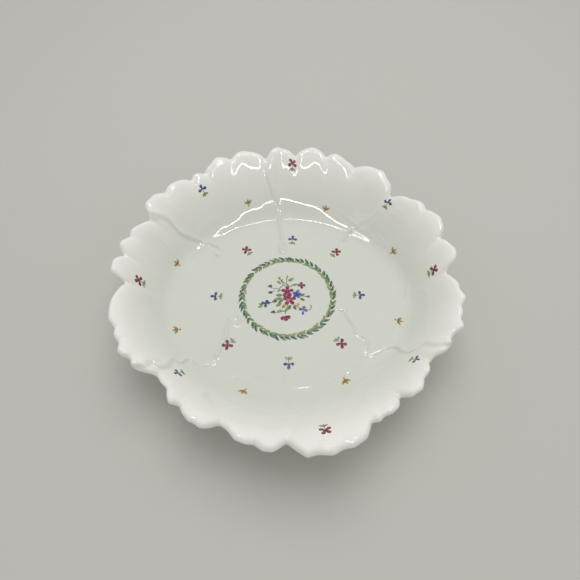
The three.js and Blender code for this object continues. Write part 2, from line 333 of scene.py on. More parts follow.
# Veins and folds pressed faintly into the leaves.
VEINS = [
    [(270, 44), (270, 84)],
    [(273, 44), (272, 84)],
    [(144.5, 103), (140, 103.6), (133.4, 103), (127.7, 103.8)],
    [(144, 105), (135.7, 105.5), (128.7, 106.2)],
    [(60, 102), (54.3, 100), (48.3, 99.4)],
    [(47.5, 98), (42, 101.5)],
    [(40.3, 101), (35.5, 100.6), (31, 102)],
    [(37, 103.7), (33, 103.6), (29, 103.8)],
    [(39, 116.5), (35.8, 119), (31.8, 118.8), (27.4, 120)],
    [(38.5, 119.5), (35.8, 121.6), (32.5, 121.2), (27.7, 121)],
    [(158, 118), (158.7, 112.6), (160, 110)],
    [(172, 114.4), (172.6, 110.3), (174.7, 106.6), (178, 102.5), (183.5, 99.4), (192.3, 99.2), (202, 95)],
    [(191, 118), (203.5, 117.4), (212, 117.6)],
    [(330, 86), (338, 90), (353.3, 98), (359.4, 102), (367.5, 106.6), (372, 111.4)],
    [(2.7, 111), (-4.7, 115.8), (-12.6, 115.3), (-24.2, 115.2)],
    [(228, 87), (236, 84.4), (245.4, 82), (254, 83), (261, 86), (267, 83), (276, 82), (287, 82.3)]
    + [(300, 83), (316, 83)],
    [(229.7, 105.8), (245.8, 107), (259.5, 110), (270, 110), (277.3, 105.6), (283, 112)],
    [(291, 94), (294.8, 101), (299.4, 99.3), (307.8, 97), (316, 98.4)],
    [(303, 82), (308, 90), (314, 95.5), (318.5, 98.5)],
]

SEAM_PATHS = [plan_path(seam["points"]) for seam in SEAMS]
STEM_PATHS = [plan_path(points) for points in STEMS]
VEIN_PATHS = [plan_path(points) for points in VEINS]
print(len(SEAMS), "seams,", len(STEMS), "stems,", len(VEINS), "veins")

# %% [markdown]
# ## Adding the relief up
# The lobes with their creases, the seams, the rolled fold at the back, the stems and veins, a hollow
# in one leaf and a slow unevenness of the pressed clay are separate small heights. They are added to
# the plain wall, so each can be changed alone.

# %% The relief of the leaves
CREASE_SHARE = 0.65  # depth of a crease for each millimetre that its notch cuts in
CREASE_DEEPEST = 2.4
CREASE_WIDTH = 3.0
CREASE_REACH = 15  # a crease runs this far in from its notch
CREASE_STRETCH = 1.5  # and this much further for each millimetre of the notch's depth
CREASE_STRETCH_DEPTH = 5  # but no further for notches deeper than this
SWELL_HEIGHT = 1.9  # each leaf swells a little inside its edge
SWELL_PLACE = 9
SWELL_WIDTH = 8
CUSHION_HEIGHT = 1.1  # each lobe stands up like a cushion between its two creases
CUSHION_SHARE = 0.1  # and narrow lobes less, in millimetres for each degree they span
CUSHION_REACH = 15
ROLL_DROP = 1.8  # the last of the leaf rolls outwards and drops by this much
ROLL_REACH = 8
LIP_DROP = 0.8  # and the lip itself turns down
LIP_REACH = 3.6
SEAM_FADE = 11  # an overlapping edge sinks back into its leaf over this distance
STEM_HEIGHT = 1.5
STEM_WIDTH = 1.35
VEIN_HEIGHT = 0.4
VEIN_WIDTH = 1.3
UNEVENNESS = 0.2
WAVE_LENGTHS = (24, 60)  # the shortest and the longest
WAVE_COUNT = 7
FOLD_PATH = plan_path([(95.5, 140), (96.5, 128), (98, 120), (97.5, 111), (95.5, 98)])
FOLD_HEIGHT = 3.4
FOLD_WIDTH = 8.5
DISHES = [(49.5, 114.5, 10, 1.9)]  # a hollow in a leaf: degrees, radius, width and depth

random_waves = np.random.default_rng(11)
WAVES = [
    (
        2 * math.pi / random_waves.uniform(*WAVE_LENGTHS),
        random_waves.uniform(0, math.pi),
        random_waves.uniform(0, 6.28),
    )
    for _ in range(WAVE_COUNT)
]
CREASES = [
    (
        angle,
        radius,
        min(CREASE_SHARE * depth, CREASE_DEEPEST) * random_waves.uniform(0.75, 1.25),
        CREASE_REACH + CREASE_STRETCH * min(depth, CREASE_STRETCH_DEPTH),
        random_waves.uniform(-0.35, 0.35),
    )
    for angle, radius, depth in NOTCHES
]
NOTCH_ANGLES = [notch for notch, *_ in NOTCHES]
LOBE_ENDS = np.array([*NOTCH_ANGLES, NOTCH_ANGLES[0] + 360])


def cushions(angle):
    """How far each lobe rises between its two notches."""
    turn = (np.degrees(angle) - LOBE_ENDS[0]) % 360 + LOBE_ENDS[0]
    lobe = np.clip(np.searchsorted(LOBE_ENDS, turn, side="right") - 1, 0, len(LOBE_ENDS) - 2)
    span = LOBE_ENDS[lobe + 1] - LOBE_ENDS[lobe]
    along = (turn - LOBE_ENDS[lobe]) / span
    return np.minimum(CUSHION_SHARE * span, CUSHION_HEIGHT) * 4 * along * (1 - along)


def creases(x, y):
    """The swell, the cushions and the outward roll of the lobes, and the pinched creases between them."""
    angle, radius = np.arctan2(y, x), np.hypot(x, y)
    past_lobe = radius - margin(angle, lobe_radii)
    past_edge = radius - margin(angle)
    height = SWELL_HEIGHT * np.exp(-(((past_lobe + SWELL_PLACE) / SWELL_WIDTH) ** 2) / 2)
    height += cushions(angle) * ease(past_lobe, -CUSHION_REACH, 0)
    height -= ROLL_DROP * np.clip(past_lobe / ROLL_REACH + 1, 0, 1.3) ** 2
    height -= LIP_DROP * np.clip(past_edge / LIP_REACH + 1, 0, 1.1) ** 2
    for notch, notch_radius, depth, reach, skew in CREASES:
        inward = np.clip(notch_radius - radius, 0, None)
        turn = (np.degrees(angle) - notch + 180) % 360 - 180
        across = (np.radians(turn) * radius - skew * inward) / (CREASE_WIDTH * (1 + inward / reach))
        height -= depth * (1 - ease(inward, 0, reach)) / (1 + across**2) ** 1.5
    return height


def seams(x, y):
    height = np.zeros_like(x)
    for seam, path in zip(SEAMS, SEAM_PATHS):
        distance, share = near_path(x, y, path)
        distance = distance * seam["over"]
        lift = seam["lift"] * (1 - 0.8 * ease(share, 0.25, 1)) * (1 - ease(share, 0.97, 1))
        on_top = ease(distance, -0.9, 0.9) * np.exp(-np.clip(distance, 0, None) / SEAM_FADE)
        bead = 0.35 * np.exp(-(((distance - 1.5) / 1.3) ** 2))
        groove = -0.25 * np.exp(-(((distance + 1.3) / 1.2) ** 2))
        height += lift * (on_top + bead + groove)
    return height


def fold(x, y):
    distance, share = near_path(x, y, FOLD_PATH)
    width = FOLD_WIDTH * (1 - 0.85 * share)
    across = np.clip(distance / width, -1.6, 1.6)
    profile = np.exp(-(across**2) * 1.3) - 0.45 * np.exp(-(((across + 1.1) / 0.3) ** 2))
    return FOLD_HEIGHT * (1 - 0.8 * share) * profile * (1 - ease(share, 0.9, 1))


def ridges(x, y, paths, height, width):
    total = np.zeros_like(x)
    for path in paths:
        distance, share = near_path(x, y, path)
        taper = ease(share, 0, 0.12) * (1 - 0.5 * ease(share, 0.9, 1))
        total = np.maximum(total, height * taper * np.exp(-((distance / width) ** 2)))
    return total


def dishes(x, y):
    hollows = 0
    for degrees, radius, width, depth in DISHES:
        a = math.radians(degrees)
        away = np.hypot(x - radius * math.cos(a), y - radius * math.sin(a)) / width
        hollows = hollows - depth * np.exp(-(away**4))
    return hollows


def unevenness(x, y):
    waves = [np.sin(k * (x * math.cos(h) + y * math.sin(h)) + phase) for k, h, phase in WAVES]
    return UNEVENNESS * sum(waves) / len(waves) ** 0.5 * ease(np.hypot(x, y), 60, 110)


def relief(x, y):
    return (
        creases(x, y)
        + seams(x, y)
        + fold(x, y)
        + ridges(x, y, STEM_PATHS, STEM_HEIGHT, STEM_WIDTH)
        + ridges(x, y, VEIN_PATHS, VEIN_HEIGHT, VEIN_WIDTH)
        + dishes(x, y)
        + unevenness(x, y)
    )


def leaf_height(x, y):
    """Height of the finished inner surface above the floor, at points in plan."""
    return wall_rise(np.arctan2(y, x), np.hypot(x, y)) + relief(x, y)


# %% [markdown]
# ## The porcelain body
# On the real bowl a slab of clay is pressed into a plaster mould. Here a plain blank is turned first:
# a section is drawn point by point and spun round the axis, which gives even rows that follow the
# rim. The blank is then pressed into the leaf shape by moving each of its points, which is quicker
# and more exact than sculpting, and keeps the wall at its thickness.

# %% Draw the section of the blank
TURNS = 680
BLANK_WELL = 90  # the blank's own floor radius, a mean of the leaf shape's
LIP_POINTS = 5
MERGE_DISTANCE = 0.02 * MM


def blank_rise(radius):
    u = np.clip((radius - BLANK_WELL) / (RIM_RADIUS - BLANK_WELL), 0, None)
    inside = np.clip(u, 0, 1)
    curve = (3 - RIM_SLOPE) * inside**2 - (2 - RIM_SLOPE) * inside**3
    return RIM_RISE * (curve + RIM_SLOPE * (u - inside))


def blank_lean(radius):
    step = 0.01
    return np.arctan2(blank_rise(radius + step) - blank_rise(radius - step), 2 * step)


def section_of_blank():
    """The section from the middle of the underside, over the lip, to the middle of the floor."""
    edge_lean = float(blank_lean(RIM_RADIUS))
    edge = RIM_RADIUS - WALL / 2 * (math.sin(edge_lean) + math.cos(edge_lean))
    beneath = np.concatenate([[0], np.linspace(30, 80, 4), np.linspace(84, edge, 24)])
    wall = np.concatenate([np.linspace(edge, edge - 5, 11), np.linspace(edge - 6, 84, 52)])
    inside = np.concatenate([wall, np.linspace(83, 42, 42), [33, 20, 8, 0]])
    lean = blank_lean(beneath)
    under = np.column_stack([beneath + WALL * np.sin(lean), blank_rise(beneath) - WALL * np.cos(lean)])
    under[0, 0] = 0
    turn = np.linspace(-math.pi / 2, math.pi / 2, LIP_POINTS + 2)[1:-1] + edge_lean
    heart = under[-1] + WALL / 2 * np.array([-math.sin(edge_lean), math.cos(edge_lean)])
    lip = heart + WALL / 2 * np.column_stack([np.cos(turn), np.sin(turn)])
    floor = np.column_stack([inside, blank_rise(inside)])
    return np.vstack([under, lip, floor])


section = section_of_blank()
print(len(section), "points in the section")

# %% [markdown]
# A single point is made by merging a small plane, and it is extruded from station to station. Then
# the spin operator turns the line round the axis. Merging by distance closes the start of the turn
# and the two poles, and the normals are made to point out.

# %% Spin the blank
deselect()
first = to_metres([[section[0, 0], 0, section[0, 1]]])[0]
bpy.ops.mesh.primitive_plane_add(size=MM, location=first)
bowl = bpy.context.object
bpy.ops.object.mode_set(mode="EDIT")
bpy.ops.mesh.merge(type="CENTER")
for step in np.diff(section, axis=0) * MM:
    bpy.ops.mesh.extrude_vertices_move(TRANSFORM_OT_translate={"value": (step[0], 0, step[1])})
bpy.ops.mesh.select_all(action="SELECT")
bpy.ops.mesh.spin(steps=TURNS, angle=2 * math.pi, center=first, axis=(0, 0, 1))
bpy.ops.mesh.select_all(action="SELECT")
bpy.ops.mesh.remove_doubles(threshold=MERGE_DISTANCE)
bpy.ops.mesh.normals_make_consistent(inside=False)
settle(bowl, "leaf_bowl")

# %% [markdown]
# Pressing moves a point twice: outwards or inwards, so that the blank's round rim lands on the
# scalloped margin, and up or down, so that it keeps its depth below the leaf surface. The fine relief
# fades out through the wall, so the underside carries only the slow shape, as pressed ware does.

# %% Press the blank into the leaves
PRESS_START = 88  # the margin's shape reaches in to this radius
THINNING = 1.5  # the wall loses this much of its thickness on the way to the lip
THINNING_START = 112
THINNING_END = 136


def press(points):
    """Moves points of the blank, in millimetres from the middle of the floor, to the leaf shape."""
    x, y, z = points.T
    angle, radius = np.arctan2(y, x), np.hypot(x, y)
    depth = (blank_rise(radius) - z) * np.cos(blank_lean(radius)) / WALL
    reach = radius + (margin(angle) - RIM_RADIUS) * ease(radius, PRESS_START, RIM_RADIUS)
    px, py = reach * np.cos(angle), reach * np.sin(angle)
    inner_share = 1 - ease(depth, 0.3, 1)
    fine = relief(px, py)
    slow = creases(px, py)
    lift = wall_rise(angle, reach) - blank_rise(radius) + slow + (fine - slow) * inner_share
    lift += THINNING * depth * ease(radius, THINNING_START, THINNING_END) / np.cos(blank_lean(radius))
    return np.column_stack([px, py, z + lift])


blank_points = coordinates(bowl) / MM - [CENTRE[0], CENTRE[1], FLOOR_TOP]
move_to(bowl, to_metres(press(blank_points)))
select(bowl)
bpy.ops.object.shade_smooth()
print("pressed body", [round(v / MM, 1) for v in bowl.dimensions], "mm")
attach(bowl, "root")
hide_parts("bowl_body")

# %% [markdown]
# ## The foot ring
# A coil of clay is thrown on the underside of the well, and the bowl stands on it. Its section is a
# small face: drawn as a plane, shaped to a wedge with rounded corners, and spun into a ring. It runs
# up into the body a little, as a luted joint does, with a hollow fillet of glaze on both sides.

# %% Spin the foot ring
FOOT_TREAD = 4
FOOT_ROOT = 7
FOOT_JOINT = 0.8  # how far the ring is sunk into the body
FOOT_TURNS = 160
foot_radius = FOOT_OUTER - FOOT_ROOT / 2
table = -FLOOR_TOP

deselect()
foot_height = FOOT_TOP + FOOT_JOINT
middle = to_metres([[foot_radius, 0, table + foot_height / 2]])[0]
bpy.ops.mesh.primitive_plane_add(size=1, location=middle, rotation=(math.pi / 2, 0, 0))
foot = bpy.context.object
foot.scale = (FOOT_ROOT * MM, foot_height * MM, 1)
bpy.ops.object.transform_apply(location=True, rotation=True, scale=True)
bpy.ops.object.mode_set(mode="EDIT")
bpy.ops.mesh.select_all(action="SELECT")
bpy.ops.mesh.subdivide(number_cuts=5)
bpy.ops.object.mode_set(mode="OBJECT")
spots = coordinates(foot) / MM - [CENTRE[0], CENTRE[1], FLOOR_TOP]
up = (spots[:, 2] - table) / foot_height
waist = FOOT_TREAD / 2 + (FOOT_ROOT - FOOT_TREAD) / 2 * up**3
waist *= 1 - 0.3 * np.exp(-up / 0.07)
spots[:, 0] = foot_radius + (spots[:, 0] - foot_radius) / (FOOT_ROOT / 2) * waist
move_to(foot, to_metres(spots))
bpy.ops.object.mode_set(mode="EDIT")
bpy.ops.mesh.select_all(action="SELECT")
bpy.ops.mesh.dissolve_faces()
bpy.ops.mesh.delete(type="ONLY_FACE")
bpy.ops.mesh.select_all(action="SELECT")
bpy.ops.mesh.spin(steps=FOOT_TURNS, angle=2 * math.pi, center=to_metres([[0, 0, 0]])[0], axis=(0, 0, 1))
bpy.ops.mesh.select_all(action="SELECT")
bpy.ops.mesh.remove_doubles(threshold=MERGE_DISTANCE)
bpy.ops.mesh.normals_make_consistent(inside=False)
bpy.ops.object.mode_set(mode="OBJECT")
bpy.ops.object.shade_smooth()
settle(foot, "foot_ring_turned")
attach(foot, "root")
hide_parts("foot_ring")

# %% [markdown]
# ## Enamel strokes
# The decoration is painted with loaded brush strokes, each a small raised cushion of coloured glass.
# Three strokes are enough: a pointed leaf, a round petal and a thin line. Each is modelled once as
# a low dome from a circle, and copied. A stroke lies flat, one unit long from its base along X.

# %% Model the three strokes
STROKE_SIDES = 10
STROKE_SHOULDER = 0.55  # height of a stroke's upright side
STROKE_DOME = 0.45  # and of the part that closes in above it
STROKE_TOP = 0.72  # size of the flat top
OVERLAP_STEPS = 12  # strokes that overlap differ in height, so that no two tops lie in one plane


def stroke_model(name, half_width):
    """A unit stroke: half_width gives its half width at each share of its length."""
    deselect()
    bpy.ops.mesh.primitive_circle_add(
        vertices=STROKE_SIDES, radius=0.5, fill_type="NGON", location=(0.5, 0, 0)
    )
    stroke = bpy.context.object
    bpy.ops.object.transform_apply(location=True)
    points = coordinates(stroke)
    points[:, 1] = np.sign(points[:, 1].round(6)) * [half_width(x) for x in points[:, 0].clip(0, 1)]
    move_to(stroke, points)
    bpy.ops.object.mode_set(mode="EDIT")
    bpy.ops.mesh.select_all(action="SELECT")
    bpy.ops.mesh.extrude_region_move(TRANSFORM_OT_translate={"value": (0, 0, STROKE_SHOULDER)})
    bpy.ops.mesh.extrude_region_move(TRANSFORM_OT_translate={"value": (0, 0, STROKE_DOME)})
    bpy.ops.transform.resize(value=(STROKE_TOP, STROKE_TOP, 1), center_override=(0.5, 0, 1))
    bpy.ops.mesh.select_all(action="SELECT")
    bpy.ops.mesh.normals_make_consistent(inside=False)
    bpy.ops.object.mode_set(mode="OBJECT")
    bpy.ops.object.shade_smooth()
    stroke.name = name
    return stroke


STROKES = {
    "leaf": stroke_model("leaf_stroke", lambda x: 0.5 * (4 * x * (1 - x)) ** 0.9 * (1.15 - 0.3 * x)),
    "petal": stroke_model(
        "petal_stroke", lambda x: 0.5 * (1 - abs(2 * x - 1) ** 2.4) ** 0.5 * (0.35 + 0.75 * x)
    ),
    "line": stroke_model("line_stroke", lambda x: 0.5 * (1 - abs(2 * x - 1) ** 6) ** 0.5),
}
for name, stroke in STROKES.items():
    print(name, len(stroke.data.polygons), "faces")


# %% [markdown]
# ## Laying a film on the leaf
# A motif is painted flat, as a transfer is on its paper: X points outwards up the wall, Y sideways.
# Then it is laid on the bowl. Each point is set on the leaf surface and lifted along the surface's
# own normal, so the enamel follows ridges and keeps its thickness.

# %% Paint strokes and lay them
ENAMEL = 0.16  # thickness of the enamel
SINK = 0.05  # its base lies this far in the glaze
LINE_WIDTH = 0.55
FILMS = []
stroke_order = itertools.cycle(range(OVERLAP_STEPS))


def linear(colour):
    """An sRGB colour of 0 to 255 as linear values."""
    c = np.array(colour, float) / 255
    return np.where(c <= 0.04045, c / 12.92, ((c + 0.055) / 1.055) ** 2.4)


def dab(kind, at, heading, length, width, base, tip=None):
    """One stroke in the plane of a film: it starts at a point and runs towards a heading in degrees."""
    select(STROKES[kind])
    bpy.ops.object.duplicate()
    stroke = bpy.context.object
    along = coordinates(stroke)[:, [0]].clip(0, 1)
    tip = base if tip is None else tip
    paint = linear(base) * (1 - along) + linear(tip) * along
    layer = stroke.data.color_attributes.new("paint", "FLOAT_COLOR", "POINT")
    layer.data.foreach_set("color", np.column_stack([paint, np.ones(len(paint))]).ravel())
    stroke.matrix_world = (
        Matrix.Translation((at[0], at[1], 0))
        @ Matrix.Rotation(math.radians(heading), 4, "Z")
        @ Matrix.Diagonal((length, width, 1 + 0.5 * next(stroke_order) / OVERLAP_STEPS, 1))
    )
    return stroke


def line(points, base, tip=None, width=LINE_WIDTH):
    """A thin line through points, as overlapping straight strokes."""
    strokes = []
    for (x0, y0), (x1, y1) in zip(points, points[1:]):
        heading = math.degrees(math.atan2(y1 - y0, x1 - x0))
        length = math.hypot(x1 - x0, y1 - y0) + width / 2
        strokes.append(dab("line", (x0, y0), heading, length, width, base, tip))
    return strokes


def on_leaf(x, y, lift):
    """Points at a height above the leaf surface, measured along its normal."""
    step = 0.2
    height = leaf_height(x, y)
    normal = np.column_stack(
        [
            (height - leaf_height(x + step, y)) / step,
            (height - leaf_height(x, y + step)) / step,
            np.ones_like(x),
        ]
    )
    normal /= np.linalg.norm(normal, axis=1)[:, None]
    return np.column_stack([x, y, height]) + normal * lift[:, None]


def lay(strokes, name, node, slot, degrees=0.0, radius=0.0, thickness=ENAMEL):
    """Joins strokes to one film and lays it on the bowl with its origin at a place on the leaf."""
    deselect()
    for stroke in strokes:
        stroke.select_set(True)
    bpy.context.view_layer.objects.active = strokes[0]
    bpy.ops.object.join()
    film = bpy.context.object
    bpy.ops.object.transform_apply(location=True, rotation=True, scale=True)
    angle = math.radians(degrees)
    step = 2.0
    here, further = np.array([radius]), np.array([radius + step])
    rise = wall_rise(np.array([angle]), further) - wall_rise(np.array([angle]), here)
    lean = math.atan(rise[0] / step) if radius else 0
    flat = coordinates(film)
    out = radius + flat[:, 0] * math.cos(lean)
    x = out * math.cos(angle) - flat[:, 1] * math.sin(angle)
    y = out * math.sin(angle) + flat[:, 1] * math.cos(angle)
    move_to(film, to_metres(on_leaf(x, y, flat[:, 2] * thickness - SINK)))
    settle(film, name)
    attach(film, "root")
    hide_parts(node)
    FILMS.append((film, slot))


# %% [markdown]
# ## The laurel wreath
# The wreath is a ring of small leaves in pairs, set like a herringbone on a thin stem, all pointing
# the same way round. The outer leaves are a dark blue-green, the inner ones a lighter green, and
# touches of olive and ochre break the evenness.

# %% Paint the wreath
PAIRS = 54
WREATH_BAND = 5.8
LEAF_TURNS = (18, 34)  # degrees that a leaf turns away from the stem
LEAF_LENGTHS = (6.0, 7.8)
LEAF_WIDTH = 2.4
ODD_LEAVES = 0.25  # share of the leaves in a second pair of colours
TOUCH_LENGTH, TOUCH_WIDTH = 3.2, 1.6
TEAL = (38, 76, 70)
GREEN = (76, 122, 78)
PALE_GREEN = (140, 158, 104)
OLIVE = (122, 126, 66)
OCHRE = (180, 156, 84)
STRAW = (166, 168, 104)
SLATE = (54, 74, 112)
hand = np.random.default_rng(5)


def paint_wreath():
    middle = WREATH_OUTER - WREATH_BAND / 2
    strokes = []
    for i in range(PAIRS):
        turn = 360 / PAIRS * (i + hand.uniform(-0.15, 0.15))
        a = math.radians(turn)
        for side, base, tip in ((1, TEAL, GREEN), (-1, GREEN, PALE_GREEN)):
            heading = turn + 90 - side * hand.uniform(*LEAF_TURNS)
            length = hand.uniform(*LEAF_LENGTHS)
            if hand.random() < ODD_LEAVES:
                base, tip = (OLIVE, STRAW) if side < 0 else (SLATE, TEAL)
            reach = middle - side * 0.2
            spot = (reach * math.cos(a), reach * math.sin(a))
            strokes.append(dab("leaf", spot, heading, length, LEAF_WIDTH, base, tip))
        reach = middle + hand.choice((-1, 1)) * 1.3
        dot = hand.choice(("olive", "ochre", "green"))
        colour = {"olive": OLIVE, "ochre": OCHRE, "green": GREEN}[str(dot)]
        a += math.radians(hand.uniform(1, 4))
        spot = (reach * math.cos(a), reach * math.sin(a))
        heading = turn + hand.uniform(60, 120)
        strokes.append(dab("leaf", spot, heading, TOUCH_LENGTH, TOUCH_WIDTH, colour))
    return strokes


lay(paint_wreath(), "laurel_wreath", "wreath_transfer", "green_enamel")

# %% [markdown]
# ## The sprigs
# Twenty-four small sprigs are scattered over the bowl in three rings. Each points outwards: a head of
# petals, a short stem, and two or three leaves. Their places are read from the CAD transfers, so
# each new film lies where its node is.

# %% Paint the sprigs
CRIMSON = (98, 8, 34)
ROSE = (146, 26, 62)
PINK = (222, 132, 152)
BLUE = (30, 38, 96)
PALE_BLUE = (62, 80, 148)
LEAF_GREEN = (112, 136, 80)
GREY_GREEN = (146, 160, 122)
BROWN = (118, 80, 50)


def foliage():
    return [
        *line([(1.2, 0), (-3.4, 0)], GREY_GREEN, LEAF_GREEN, 0.7),
        dab("leaf", (-2.2, 0), 122 + hand.uniform(-8, 8), 3.9, 2.0, LEAF_GREEN, GREY_GREEN),
        dab("leaf", (-2.4, 0), -122 + hand.uniform(-8, 8), 3.9, 2.0, LEAF_GREEN, GREY_GREEN),
        dab("leaf", (-2.6, 0), 180 + hand.uniform(-12, 12), 2.6, 1.5, LEAF_GREEN, OLIVE),
    ]


def red_sprig():
    petals = [dab("petal", (1.9, 0), h, 4.6, 3.5, CRIMSON, ROSE) for h in (-36, 36, 122, -122)]
    return petals + [dab("petal", (1.2, 0), 0, 1.8, 2.2, CRIMSON)] + foliage()


def blue_sprig():
    petals = [dab("petal", (1.5, 0), h, 4.3, 3.3, BLUE, PALE_BLUE) for h in (0, 96, -96)]
    return petals + [dab("petal", (1.1, 0), 0, 1.6, 1.9, BLUE)] + foliage()


def gold_sprig():
    blades = [dab("leaf", (-1.2, 0), h, 5.2, 2.1, BROWN, OCHRE) for h in (0, 48, -48)]
    stem = line([(0, 0), (-3.2, 0)], BROWN, OCHRE)
    return blades + stem + [dab("leaf", (-1.6, 0), 150, 2.6, 1.3, OLIVE, OCHRE)]


SPRIGS = [
    ("floor_sprig_blue", 4, blue_sprig, "blue_enamel"),
    ("floor_sprig_red", 4, red_sprig, "crimson_enamel"),
    ("wall_sprig_gold", 8, gold_sprig, "ochre_enamel"),
    ("rim_sprig_red", 4, red_sprig, "crimson_enamel"),
    ("rim_sprig_blue", 4, blue_sprig, "blue_enamel"),
]


def place_of(node):
    """Angle in degrees and radius in millimetres of the middle of a CAD transfer, in plan."""
    low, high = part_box(node)
    x, y = (np.array([low.x + high.x, low.y + high.y]) / 2 / MM) - CENTRE
    return math.degrees(math.atan2(y, x)), math.hypot(x, y)


for family, count, motif, slot in SPRIGS:
    for k in range(1, count + 1):
        node = f"{family}_{k}"
        angle, radius = place_of(node)
        lay(motif(), f"{node}_film", node, slot, angle, radius)

# %% [markdown]
# ## The bouquet
# Inside the wreath a loose bouquet is painted round two crimson roses: blue flowers at both sides,
# a small red one at the top right, a red trefoil below, buds on thin stems, and many small leaves.

# %% Paint the bouquet
DEEP = (126, 12, 62)
SKY = (70, 98, 196)
DARK_SLATE = (52, 58, 100)
DARK_OLIVE = (94, 94, 50)
MOSS = (100, 120, 66)
PEACH = (214, 160, 120)
BLOOM = 1.2  # the flowers are painted fuller than their petals' outline
LEAF_STRETCH, LEAF_SPREAD = 1.15, 1.2  # and the leaves longer and wider
BOUQUET_ENAMEL = ENAMEL * 1.2


def flower(x, y, size, headings, base, tip, width=0.95):
    return [dab("petal", (x, y), h, size * BLOOM, size * BLOOM * width, base, tip) for h in headings]


def paint_bouquet():
    stems = [
        [(1.9, 9.6), (-1.5, 12.6), (-5.7, 16.9)],
        [(-0.8, 20.2), (-0.9, 16), (-0.8, 12.8), (1.6, 10)],
        [(-7, 20.4), (-6.3, 17.3), (-3.6, 12)],
        [(-3.6, 17.3), (-6, 16.9)],
        [(-1, 10), (-3.6, 12), (-7.4, 7.5), (-12.9, 8.3), (-16.2, 9.6)],
        [(-10.8, 5.9), (-15.8, 3.6)],
        [(12.4, 11.2), (7, 12.8), (1.9, 9.6)],
        [(-11, -6), (-15.6, -6.4), (-18.7, -7.3)],
        [(-1.9, -17.9), (-1.2, -14.2), (0.5, -8)],
        [(-8.4, -16.3), (-13, -16.1)],
        [(-1.2, -14.2), (-5, -15.4), (-8.4, -16.3)],
        [(13.3, -13.8), (9, -11), (5, -8)],
        [(15, -14.6), (17.4, -14.2), (19.5, -13), (20.5, -9.7), (19.4, -9.3)],
        [(17, -0.3), (13.6, 0), (9, 0.5)],
    ]
    strokes = [stroke for points in stems for stroke in line(points, DARK_OLIVE, LEAF_GREEN, 0.7)]
    leaves = [
        (0.6, 15.6, 35, 5.4, 2.8, OLIVE, GREY_GREEN),
        (3.5, 11.4, 5, 4.2, 2, GREY_GREEN, LEAF_GREEN),
        (-5.6, 13.2, 150, 4, 2, LEAF_GREEN, OLIVE),
        (-6.3, 7.4, 235, 3.4, 1.8, GREY_GREEN, MOSS),
        (-4.2, 0.9, 178, 5.4, 2.6, LEAF_GREEN, MOSS),
        (-4, -2, 190, 7.4, 2.6, MOSS, GREY_GREEN),
        (-3.4, -3.4, 215, 5, 2.2, MOSS, OLIVE),
        (-5, -6.8, 215, 5.4, 2.6, OLIVE, LEAF_GREEN),
        (-1.5, -8, 232, 4.6, 2.4, OCHRE, OLIVE),
        (2.4, -8.6, 255, 4.6, 2.4, DARK_OLIVE, MOSS),
        (5, -9.4, 300, 4.2, 2.2, DARK_OLIVE, TEAL),
        (9.6, -6.2, 255, 4, 2.4, PEACH, OCHRE),
        (-4.4, -13.6, 205, 4.4, 2, GREY_GREEN, LEAF_GREEN),
        (0, -11.6, 245, 4.2, 2, MOSS, OLIVE),
        (-21, -9.4, 205, 4, 1.8, LEAF_GREEN, OLIVE),
        (-21, -8.6, 165, 3.4, 1.6, MOSS, LEAF_GREEN),
        (11, 0.2, 30, 4.2, 1.8, BROWN, OLIVE),
        (10.6, -2, 330, 4.4, 2.2, OLIVE, DARK_OLIVE),
        (7, 5, 20, 3.6, 1.6, GREY_GREEN, LEAF_GREEN),
        (-6.8, 17.2, 115, 3.2, 1.4, OLIVE, OCHRE),
        (-0.9, 18.6, 70, 3, 1.3, OLIVE, OCHRE),
    ]
    strokes += [
        dab("leaf", (x, y), h, length * LEAF_STRETCH, width * LEAF_SPREAD, a, b)
        for x, y, h, length, width, a, b in leaves
    ]
    strokes += flower(-0.2, 4.8, 4.7, (90, 162, 18, 306, 234), DEEP, ROSE, 0.74)
    strokes += flower(1.7, -3.6, 4.9, (20, 92, 164, 236, 308), DEEP, ROSE, 0.74)
    strokes += flower(-0.4, -0.2, 2.6, (60, 180, 300), DEEP, CRIMSON)
    strokes += [dab("leaf", (1.7, -3.6), h, 3.4, 1.1, PINK) for h in (20, 92, 164, 236)]
    strokes += flower(8.1, 1.8, 3.4, (10, 80, 150, 225, 300), BLUE, SKY)
    strokes += flower(12.2, 11.2, 2.9, (92, 176, 2, 272), DEEP, CRIMSON)
    strokes += flower(-18.6, -7.4, 3.2, (165, 268, 65, 15), BLUE, PALE_BLUE)
    strokes += flower(13.3, -13.6, 3.2, (72, 165, 345), SKY, PALE_BLUE)
    strokes += [dab("petal", (13.2, -14.4), 265, 4.2, 2.4, BLUE, SKY)]
    strokes += [dab("leaf", (12.4, -13.2), 175, 2.6, 1.8, DARK_SLATE, SLATE)]
    strokes += flower(-1.9, -19.8, 3.9, (222, 285, 342), CRIMSON, ROSE)
    strokes += [dab("petal", (-3, -19.2), 300, 1.8, 1.6, PINK)]
    buds = [(-17.6, 10, BROWN), (-17.2, 3.4, BROWN), (-13.2, -5.6, BROWN), (-14.4, -16.2, DARK_OLIVE)]
    strokes += [dab("petal", (x, y), 10, 4.2, 3.6, colour, DARK_SLATE) for x, y, colour in buds]
    strokes += [dab("petal", (15.8, -0.3), 0, 3.4, 2.9, DARK_SLATE, BROWN)]
    return strokes


lay(paint_bouquet(), "bouquet_film", "bouquet_transfer", "crimson_enamel", thickness=BOUQUET_ENAMEL)
for stroke in STROKES.values():
    bpy.data.objects.remove(stroke)

# %% [markdown]
# ## Writing shaders as sums
# A material is a network of nodes. This small class wraps one output socket, so that `1 - mask` or
# `a * b` adds the Math nodes for it. Every other node comes from one method: its type, its settings,
# then the values or links of its sockets.


